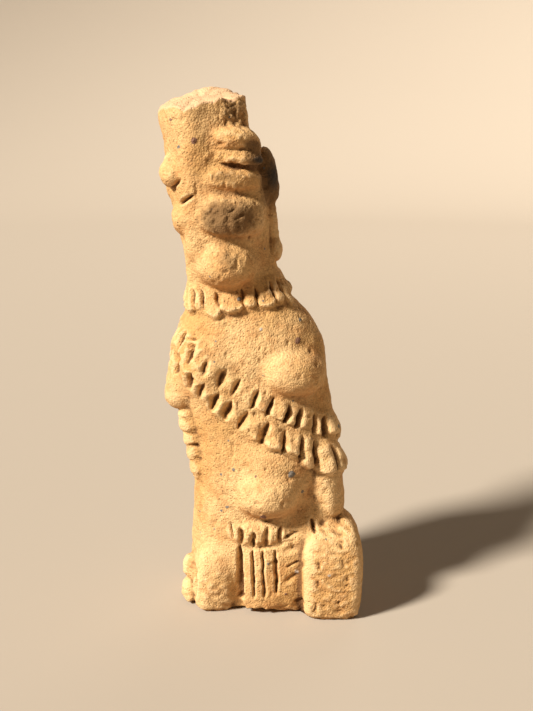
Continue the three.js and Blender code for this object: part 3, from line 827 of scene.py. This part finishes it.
@dataclass
class ClayFigure:
    """The whole figure as one sculpted surface with its relief."""

    columns: int = 240
    rows: int = 392
    under_rows: int = 6
    top_rows: int = 10
    front_bias: float = 0.45
    reach: float = 62.0
    relax_rounds: int = 12
    relax_share: float = 0.45
    pit_shift: float = 23.7
    pit_depth: float = 0.5
    foot_broken: float = 0.9
    seed: int = 5

    UNEVEN = ((19.0, 0.5), (8.0, 0.35))
    GRAIN = ((3.4, 0.08), (1.9, 0.12), (1.25, 0.15))

    def __post_init__(self) -> None:
        """Gathers the clay and the noise."""
        self.form = ClayForm(RolledBody(BODY_LEVELS), CAP_CHIP, FACE + TRUNK + FOOT)
        self.noise = SandNoise(self.seed)
        self.cap_break = Break()
        self.arch = Arch()

    def bearings(self) -> Array:
        """Bearings of the columns, which crowd towards the front."""
        turn = 2.0 * math.pi * (np.arange(self.columns) / self.columns - 0.5)
        return turn - self.front_bias * np.sin(turn)

    def ring(self, bearing: Array, z: Array) -> Array:
        """Points of the clay at these bearings and heights, along level lines from the body's axis."""
        bearing, z = np.broadcast_arrays(bearing, z)
        away = np.stack([np.sin(bearing), -np.cos(bearing), np.zeros(bearing.shape)], -1)
        return self.form.meet(self.form.body.axis(z), away, self.reach)

    def side(self) -> Array:
        """The side of the figure, from its lower edge to the rim of the break, evened out on the clay."""
        bearing = self.bearings()
        foot = self.ring(bearing, np.zeros(self.columns))
        rim = self.ring(bearing, np.full(self.columns, self.cap_break.z))
        low = self.arch.height(foot)
        high = self.cap_break.height(rim, self.noise)
        share = np.linspace(0.0, 1.0, self.rows)
        points = self.ring(bearing[:, None], low[:, None] + share * (high - low)[:, None])
        for _ in range(self.relax_rounds):
            points = self.relaxed(points)
        return points

    def relaxed(self, points: Array) -> Array:
        """Slides points along the clay towards their longer edges, and back onto it; the rims stay."""
        inner = points[:, 1:-1]
        before = np.roll(points, 1, 0)[:, 1:-1]
        after = np.roll(points, -1, 0)[:, 1:-1]
        pull = np.zeros(inner.shape)
        total = np.zeros(inner.shape[:-1])
        for other in (before, after, points[:, 2:], points[:, :-2]):
            step = other - inner
            weight = lengths(step)
            pull += weight[..., None] * step
            total += weight
        pull /= (total + TINY)[..., None]
        normal = self.form.outward(inner)
        pull -= (pull * normal).sum(-1)[..., None] * normal
        moved = inner + self.relax_share * pull
        back = np.clip(self.form.distance(moved), -1.0, 1.0) * 0.8
        result = points.copy()
        result[:, 1:-1] = moved - back[..., None] * normal
        return result

    def relief(self, site: Site) -> Array:
        """Bands, cuts and broken patches, as heights along the normals."""
        height = SASH.height(site) + COLLAR.height(site)
        for stroke in STROKES:
            height += stroke.height(site)
        for patch in ROUGH_PATCHES:
            height += patch.height(site, self.noise)
        z = site.points[..., 2]
        height -= 1.3 * smooth_step(1.8, 0.0, z) + 0.3 * smooth_step(-0.8, 0.0, z - z[:, -1:])
        uneven = self.layers(site.points, self.UNEVEN)
        height += self.foot_broken * smooth_step(8.0, 2.0, z) * self.noise.at(site.points, 2.8)
        teeth = smooth_step(1.0, 2.0, height)
        return height + uneven + (0.16 + 0.75 * teeth) * self.noise.at(site.points, 4.0)

    def layers(self, points: Array, sizes: tuple[tuple[float, float], ...]) -> Array:
        """Sum of noises, each given by its wavelength and its height."""
        return sum(height * self.noise.at(points, wavelength) for wavelength, height in sizes)

    def grain(self, points: Array) -> Array:
        """Sand grain: noise of three sizes, and sharp pits where a grain fell out."""
        pits = smooth_step(0.48, 0.78, self.noise.at(points + self.pit_shift, 2.6))
        return self.layers(points, self.GRAIN) - self.pit_depth * pits

    def grit(self, site: Site) -> tuple[Array, Array]:
        """Where stones show in the surface.

        Args:
            site: The surface.

        Returns:
            Share of the nearest stone, and that stone's tone.
        """
        shares = np.stack([stone.share(site) for stone in STONES])
        tones = np.array([stone.tone.value for stone in STONES])
        return shares.max(0), tones[shares.argmax(0)]

    def caps(self, side: Array) -> tuple[Array, Array]:
        """Rows across the underside and the break, from the rims to the middle.

        Args:
            side: The finished side.

        Returns:
            The underside's rows from the middle outwards, and the break's rows inwards.
        """
        foot = side[:, 0]
        rim = side[:, -1]
        under_share = (np.arange(self.under_rows) / self.under_rows)[None, 1:, None]
        top_share = (np.arange(self.top_rows) / self.top_rows)[None, :0:-1, None]
        under = under_share * foot[:, None]
        under[..., 2] = self.arch.height(under)
        middle = self.form.body.axis(np.array(self.cap_break.z))
        top = middle + top_share * (rim[:, None] - middle)
        level = self.cap_break.height(top, self.noise) + 0.35 * self.noise.at(top, 1.8)
        drop = (rim[:, 2] - self.cap_break.height(rim, self.noise))[:, None]
        top[..., 2] = level + drop * top_share[..., 0] ** 3
        return under, top

    def build(self) -> bpy.types.Object:
        """Makes the surface as a mesh with what the finish reads from it.

        Returns:
            The figure's object.
        """
        smooth = self.side()
        site = Site.of(smooth, self.form, self.noise)
        grit, tone = self.grit(site)
        side = smooth + (self.relief(site) + 0.5 * np.maximum(grit, 0.0))[..., None] * site.normals
        side += self.grain(side)[..., None] * grid_normals(side)
        side[..., 2] = np.maximum(side[..., 2], 0.0)
        side[:, 0, 2] = self.arch.height(side[:, 0])
        # How hollow the surface is; the finish paints shade from this in the hollows and makes the ridges
        # paler.
        hollow = ((grid_mean(side, 10) - side) * site.normals).sum(-1)
        wide_hollow = ((grid_mean(side, 60) - side) * site.normals).sum(-1)
        soot = sum(cloud.share(side) for cloud in FIRE_CLOUDS)
        # Surfaces that face down, which the finish tints orange as painted shade.
        underside = smooth_step(0.05, 0.75, -site.normals[..., 2])
        fresh = smooth_step(-1.3, -0.5, side[..., 2] - side[:, -1:, 2])
        under, top = self.caps(side)
        points = np.concatenate([under, side, top], 1)
        middles = np.stack([np.zeros(3), self.form.body.axis(np.array(self.cap_break.z))])
        middles[1, 2] = top[:, -1, 2].mean()
        mesh = closed_mesh(NODE, points, middles)
        for name, below, values, above in (
            ("hollow", 0.0, hollow, 0.0),
            ("wide_hollow", 0.0, wide_hollow, 0.0),
            ("soot", 0.0, soot, 0.0),
            ("grit", -1.0, grit, -1.0),
            ("grit_tone", 0.0, tone, 0.0),
            ("underside", 1.0, underside, 0.0),
            ("fresh", 0.0, fresh, 1.0),
        ):
            before = np.full(under.shape[:2], below)
            after = np.full(top.shape[:2], above)
            rows = np.concatenate([before, values, after], 1)
            layer = mesh.attributes.new(name, "FLOAT", "POINT")
            layer.data.foreach_set("value", np.append(rows.ravel(), rows[0, [0, -1]]).astype(np.float32))
        figure = bpy.data.objects.new("figure_surface", mesh)
        bpy.context.scene.collection.objects.link(figure)
        return figure


def closed_mesh(name: str, points: Array, middles: Array) -> bpy.types.Mesh:
    """A mesh over a grid that closes round, with a fan to a middle point at each end.

    Args:
        name: The mesh's name.
        points: Columns of rows of points, in millimetres, columns set out anticlockwise from above.
        middles: The middle points of the first and the last row.

    Returns:
        The mesh, in metres, with smooth faces.
    """
    columns, rows = points.shape[:2]
    index = np.arange(columns * rows).reshape(columns, rows)
    beside = np.roll(index, -1, 0)
    quads = np.stack([index[:, :-1], beside[:, :-1], beside[:, 1:], index[:, 1:]], -1).reshape(-1, 4)
    low = np.full(columns, columns * rows)
    fans = np.concatenate([
        np.stack([low, beside[:, 0], index[:, 0]], -1),
        np.stack([low + 1, index[:, -1], beside[:, -1]], -1),
    ])
    corners = np.concatenate([quads.ravel(), fans.ravel()])
    starts = np.concatenate([np.arange(len(quads)) * 4, len(quads) * 4 + np.arange(len(fans)) * 3])
    places = np.concatenate([points.reshape(-1, 3), middles]) * MM
    mesh = bpy.data.meshes.new(name + "_mesh")
    mesh.vertices.add(len(places))
    mesh.vertices.foreach_set("co", places.astype(np.float32).ravel())
    mesh.loops.add(len(corners))
    mesh.loops.foreach_set("vertex_index", corners.astype(np.int32))
    mesh.polygons.add(len(starts))
    mesh.polygons.foreach_set("loop_start", starts.astype(np.int32))
    mesh.polygons.foreach_set("use_smooth", np.ones(len(starts), bool))
    mesh.update(calc_edges=True)
    mesh.validate()
    return mesh


class Value:
    """A shader socket that Python's operators work on."""

    def __init__(self, graph: "NodeGraph", socket: Any) -> None:
        """Keeps the socket and the graph that it belongs to."""
        self.graph = graph
        self.socket = socket

    def math(self, operation: str, *values: Any) -> "Value":
        """Adds a Math node that works on values in order."""
        inputs = dict(enumerate(values))
        return self.graph.add("ShaderNodeMath", {"operation": operation}, inputs)

    def __add__(self, other: Any) -> "Value":
        """Sum."""
        return self.math("ADD", self, other)

    def __radd__(self, other: Any) -> "Value":
        """Sum, reflected."""
        return self.math("ADD", other, self)

    def __sub__(self, other: Any) -> "Value":
        """Difference."""
        return self.math("SUBTRACT", self, other)

    def __rsub__(self, other: Any) -> "Value":
        """Difference, reflected."""
        return self.math("SUBTRACT", other, self)

    def __mul__(self, other: Any) -> "Value":
        """Product."""
        return self.math("MULTIPLY", self, other)

    def __rmul__(self, other: Any) -> "Value":
        """Product, reflected."""
        return self.math("MULTIPLY", other, self)

    def between(self, low: float, high: float) -> "Value":
        """Rises smoothly from 0 at low to 1 at high."""
        settings = {"interpolation_type": "SMOOTHSTEP"}
        inputs = {"Value": self, "From Min": low, "From Max": high}
        return self.graph.add("ShaderNodeMapRange", settings, inputs)


class NodeGraph:
    """A material's nodes."""

    COLOUR_INPUTS = {"Factor": 0, "A": 6, "B": 7}
    COLOUR_OUTPUT = 2

    def __init__(self, name: str) -> None:
        """Starts a material with only its output."""
        self.material = bpy.data.materials.new(name)
        self.material.use_nodes = True
        self.tree = self.material.node_tree
        self.tree.nodes.clear()

    def add(self, kind: str, settings: dict[str, Any], inputs: dict[Any, Any], output: Any = 0) -> Value:
        """Adds any node.

        Args:
            kind: The node's type.
            settings: Its own settings, which are set first.
            inputs: Values or links of its sockets, by name or number.
            output: Which of its outputs to give back.

        Returns:
            The output.
        """
        node = self.tree.nodes.new(kind)
        for name, value in settings.items():
            setattr(node, name, value)
        for name, value in inputs.items():
            if isinstance(value, Value):
                self.tree.links.new(value.socket, node.inputs[name])
            else:
                node.inputs[name].default_value = value
        return Value(self, node.outputs[output] if len(node.outputs) else None)

    def mix(self, factor: Any, a: Any, b: Any, blend: str = "MIX") -> Value:
        """Mixes two colours."""
        values = {"Factor": factor, "A": a, "B": b}
        inputs = {self.COLOUR_INPUTS[k]: rgba(v) for k, v in values.items()}
        settings = {"data_type": "RGBA", "blend_type": blend}
        return self.add("ShaderNodeMix", settings, inputs, self.COLOUR_OUTPUT)

    def noise(self, place: Value, wavelength: float, detail: float = 3.0, rough: float = 0.55) -> Value:
        """Noise with a wavelength in millimetres."""
        inputs = {"Vector": place, "Scale": 1.0 / (wavelength * MM), "Detail": detail, "Roughness": rough}
        return self.add("ShaderNodeTexNoise", {}, inputs)

    def cells(self, place: Value, size: float, output: str) -> Value:
        """Random cells with a size in millimetres."""
        inputs = {"Vector": place, "Scale": 1.0 / (size * MM)}
        return self.add("ShaderNodeTexVoronoi", {}, inputs, output)

    def attribute(self, name: str) -> Value:
        """A value that the mesh carries."""
        return self.add("ShaderNodeAttribute", {"attribute_name": name}, {}, "Fac")


def rgba(value: Any) -> Any:
    """A colour of three numbers as four; anything else as it is."""
    return (*value, 1.0) if isinstance(value, tuple) else value


@dataclass(frozen=True)
class Terracotta:
    """Matt, sandy, unglazed fired clay with smoke clouds and grit, and painted shade in its hollows and on
    its undersides.
    """

    cream: Colour = (0.70, 0.455, 0.215)
    ochre: Colour = (0.56, 0.315, 0.115)
    orange: Colour = (0.50, 0.225, 0.075)
    # A dark umber, used both for real earth and for painted shade in the hollows.
    earth_and_shade: Colour = (0.115, 0.048, 0.018)
    ridge_pale: Colour = (0.80, 0.57, 0.31)
    fresh: Colour = (0.68, 0.445, 0.275)
    smoke: Colour = (0.150, 0.080, 0.032)
    stain: Colour = (0.33, 0.18, 0.075)
    soot: Colour = (0.034, 0.028, 0.024)
    blue_grey: Colour = (0.12, 0.13, 0.135)
    pale_grey: Colour = (0.42, 0.37, 0.33)
    purple_brown: Colour = (0.16, 0.075, 0.065)
    roughness: float = 0.93
    specular: float = 0.18
    bump_depth: float = 0.55

    def material(self) -> bpy.types.Material:
        """Makes the clay's material.

        Returns:
            The material.
        """
        graph = NodeGraph("terracotta")
        place = graph.add("ShaderNodeTexCoord", {}, {}, "Object")
        hollow = graph.attribute("hollow")
        grains = graph.cells(place, 0.95, "Distance")
        sand = graph.noise(place, 0.9, 2.0, 0.6)
        colour = self.stained(graph, place, self.clay(graph, place, sand), hollow)
        height = self.bumps(graph, place, grains, sand)
        bump = {"Strength": 1.0, "Distance": self.bump_depth * MM, "Height": height}
        normal = graph.add("ShaderNodeBump", {}, bump)
        rough = self.roughness - 0.08 * graph.noise(place, 3.0)
        inputs = {
            "Base Color": colour, "Roughness": rough, "Normal": normal, "Specular IOR Level": self.specular,
        }
        shader = graph.add("ShaderNodeBsdfPrincipled", {}, inputs)
        graph.add("ShaderNodeOutputMaterial", {}, {"Surface": shader})
        return graph.material

    def clay(self, graph: NodeGraph, place: Value, sand: Value) -> Value:
        """Clay of uneven colour: broad clouds, small clouds and single grains of sand."""
        broad = graph.noise(place, 46.0, 3.0).between(0.35, 0.68)
        small = graph.noise(place, 8.0, 4.0, 0.62).between(0.42, 0.72)
        colour = graph.mix(broad, self.cream, self.ochre)
        colour = graph.mix(0.55 * small, colour, self.orange)
        colour = graph.mix(0.5 * graph.noise(place, 3.2, 3.0).between(0.56, 0.74), colour, self.stain)
        tint = graph.cells(place, 0.8, "Color")
        spread = graph.add("ShaderNodeSeparateColor", {}, {"Color": tint})
        speck = 0.80 + 0.26 * spread + 0.28 * (sand - 0.5)
        return graph.mix(1.0, colour, self.grey(graph, speck), "MULTIPLY")

    def grey(self, graph: NodeGraph, value: Value) -> Value:
        """A value as a grey colour."""
        return graph.add("ShaderNodeCombineColor", {}, {"Red": value, "Green": value, "Blue": value})

    def stained(self, graph: NodeGraph, place: Value, colour: Value, hollow: Value) -> Value:
        """Paints shade, orange on surfaces that face down and umber with some real earth in the low places
        and broad hollows; makes the high places paler; adds smoke clouds and grit.
        """
        ragged = graph.noise(place, 2.4, 4.0, 0.65)
        # Painted shade: surfaces that face down are tinted orange.
        colour = graph.mix(0.5 * graph.attribute("underside"), colour, self.orange)
        colour = graph.mix(0.7 * graph.attribute("fresh"), colour, self.fresh)
        # The high places are made paler.
        ridge = (0.0 - hollow).between(0.05, 0.5)
        colour = graph.mix(0.5 * ridge, colour, self.ridge_pale)
        # Painted shade, with some real earth: the low places and cuts are darkened towards umber.
        low = (hollow + 0.25 * (ragged - 0.5)).between(0.06, 0.85)
        colour = graph.mix(0.8 * low, colour, self.earth_and_shade)
        # Painted shade: broad hollows are darkened further towards umber.
        deep = graph.attribute("wide_hollow").between(0.5, 2.6)
        colour = graph.mix(0.55 * deep, colour, self.earth_and_shade)
        smoke = graph.attribute("soot") + 0.7 * (ragged - 0.5)
        colour = graph.mix(0.9 * smoke.between(0.1, 0.65), colour, self.smoke)
        colour = graph.mix(0.92 * smoke.between(0.85, 1.4), colour, self.soot)
        speck = graph.cells(place, 7.5, "Distance")
        chance = graph.add("ShaderNodeSeparateColor", {}, {"Color": graph.cells(place, 7.5, "Color")})
        scattered = speck.between(0.085, 0.055) * chance.between(0.55, 0.56)
        colour = graph.mix(0.8 * scattered, colour, self.blue_grey)
        tone = graph.attribute("grit_tone")
        stone = graph.mix(tone.between(0.2, 0.5), self.blue_grey, self.pale_grey)
        stone = graph.mix(tone.between(0.55, 0.95), stone, self.purple_brown)
        shown = (graph.attribute("grit") + 1.1 * (ragged - 0.5)).between(-0.02, 0.16)
        return graph.mix(0.85 * shown, colour, stone)

    def bumps(self, graph: NodeGraph, place: Value, grains: Value, sand: Value) -> Value:
        """Height of the sand: single grains, fine noise and sharp pits."""
        pits = graph.cells(place, 2.1, "Distance").between(0.28, 0.05)
        return 0.55 * sand - 0.5 * grains - 0.55 * pits + 0.5 * graph.noise(place, 2.0, 3.0)


@dataclass(frozen=True)
class PaleBowl:
    """Plain pale floor that runs up into a low wall all round, in metres."""

    paint: Colour = (0.42, 0.365, 0.305)
    roughness: float = 0.9
    inner_radius: float = 0.3
    floor_radius: float = 1.6
    bend: float = 0.8
    wall_top: float = 1.0
    bend_steps: int = 16
    turn_steps: int = 96

    def build(self) -> bpy.types.Object:
        """Makes the floor and its wall as one turned sheet.

        Returns:
            The floor's object.
        """
        turn = np.linspace(0.0, 0.5 * math.pi, self.bend_steps)
        bent = self.floor_radius + self.bend * np.sin(turn)
        radius = np.concatenate([[self.inner_radius], bent, bent[-1:]])
        height = np.concatenate([[0.0], self.bend * (1.0 - np.cos(turn)), [self.wall_top]])
        round_about = 2.0 * math.pi * np.arange(self.turn_steps) / self.turn_steps
        away = np.stack([np.cos(round_about), np.sin(round_about)], -1)[:, None]
        heights = np.broadcast_to(height, (self.turn_steps, len(height)))
        points = np.concatenate([away * radius[:, None], heights[..., None]], -1)
        index = np.arange(points.shape[0] * points.shape[1]).reshape(points.shape[:2])
        beside = np.roll(index, -1, 0)
        quads = np.stack([index[:, :-1], index[:, 1:], beside[:, 1:], beside[:, :-1]], -1).reshape(-1, 4)
        mesh = bpy.data.meshes.new("floor_mesh")
        mesh.from_pydata(points.reshape(-1, 3).tolist(), [], [*quads.tolist(), index[:, 0].tolist()])
        mesh.polygons.foreach_set("use_smooth", np.ones(len(mesh.polygons), bool))
        mesh.materials.append(self.material())
        floor = bpy.data.objects.new("floor", mesh)
        bpy.context.scene.collection.objects.link(floor)
        return floor

    def material(self) -> bpy.types.Material:
        """Makes the floor's plain matt material."""
        graph = NodeGraph("pale_floor")
        inputs = {"Base Color": rgba(self.paint), "Roughness": self.roughness, "Specular IOR Level": 0.0}
        shader = graph.add("ShaderNodeBsdfPrincipled", {}, inputs)
        graph.add("ShaderNodeOutputMaterial", {}, {"Surface": shader})
        return graph.material


@dataclass(frozen=True)
class FarLight:
    """A far soft light, by the way to it, how wide it looks and its strength."""

    name: str
    toward: Point
    width_deg: float
    strength: float
    colour: Colour

    def build(self) -> None:
        """Adds the light to the scene."""
        light = bpy.data.lights.new(self.name, "SUN")
        light.angle = math.radians(self.width_deg)
        light.energy = self.strength
        light.color = self.colour
        lamp = bpy.data.objects.new(self.name, light)
        lamp.rotation_euler = (-Vector(self.toward)).to_track_quat("-Z", "Y").to_euler()
        bpy.context.scene.collection.objects.link(lamp)


@dataclass(frozen=True)
class AreaLight:
    """A square soft light, aimed at a point, in metres and watts."""

    name: str
    at: Point
    aim: Point
    size: float
    power: float
    colour: Colour

    def build(self) -> None:
        """Adds the light to the scene."""
        light = bpy.data.lights.new(self.name, "AREA")
        light.shape = "SQUARE"
        light.size = self.size
        light.energy = self.power
        light.color = self.colour
        lamp = bpy.data.objects.new(self.name, light)
        lamp.location = self.at
        direction = Vector(self.aim) - Vector(self.at)
        lamp.rotation_euler = direction.to_track_quat("-Z", "Y").to_euler()
        bpy.context.scene.collection.objects.link(lamp)


@dataclass(frozen=True)
class Studio:
    """Pale floor, soft lights and the camera."""

    camera_back: float = 505.0
    camera_up: float = 251.7
    pitch_deg: float = 14.0
    lens: float = 54.0
    world: Colour = (1.0, 0.74, 0.50)
    world_strength: float = 0.10

    def build(self, top: float) -> None:
        """Sets up floor, lights, world and camera.

        Args:
            top: Height of the figure in metres, which the lights aim at.
        """
        PaleBowl().build()
        FarLight("key", (-0.78, -0.50, 0.72), 10.0, 7.6, (1.0, 0.93, 0.82)).build()
        aim = (0.0, 0.0, top * 0.52)
        AreaLight("back", (0.5, 1.4, 1.2), aim, 0.8, 5.0, (1.0, 0.90, 0.78)).build()
        self.light_world()
        self.set_camera()

    def light_world(self) -> None:
        """Even pale light from all round."""
        world = bpy.data.worlds.new("studio")
        world.use_nodes = True
        background = world.node_tree.nodes["Background"]
        background.inputs["Color"].default_value = rgba(self.world)
        background.inputs["Strength"].default_value = self.world_strength
        bpy.context.scene.world = world
        bpy.context.scene.view_settings.view_transform = "Standard"

    def set_camera(self) -> None:
        """Places the camera in front of the figure, looking a little down."""
        lens = bpy.data.cameras.new("camera")
        lens.lens = self.lens
        lens.clip_start = 0.01
        camera = bpy.data.objects.new("camera", lens)
        camera.location = (0.0, -self.camera_back * MM, self.camera_up * MM)
        camera.rotation_euler = (math.radians(90.0 - self.pitch_deg), 0.0, 0.0)
        bpy.context.scene.collection.objects.link(camera)
        bpy.context.scene.camera = camera


def main() -> None:
    """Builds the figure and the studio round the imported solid."""
    logging.basicConfig(level=logging.INFO, format="%(name)s: %(message)s")
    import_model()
    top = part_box(NODE)[1].z
    figure = ClayFigure().build()
    figure.data.materials.append(Terracotta().material())
    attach(figure, BODY)
    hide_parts(NODE)
    LOG.info("%s: %d faces", figure.name, len(figure.data.polygons))
    Studio().build(top)


if __name__ == "__main__":
    main()
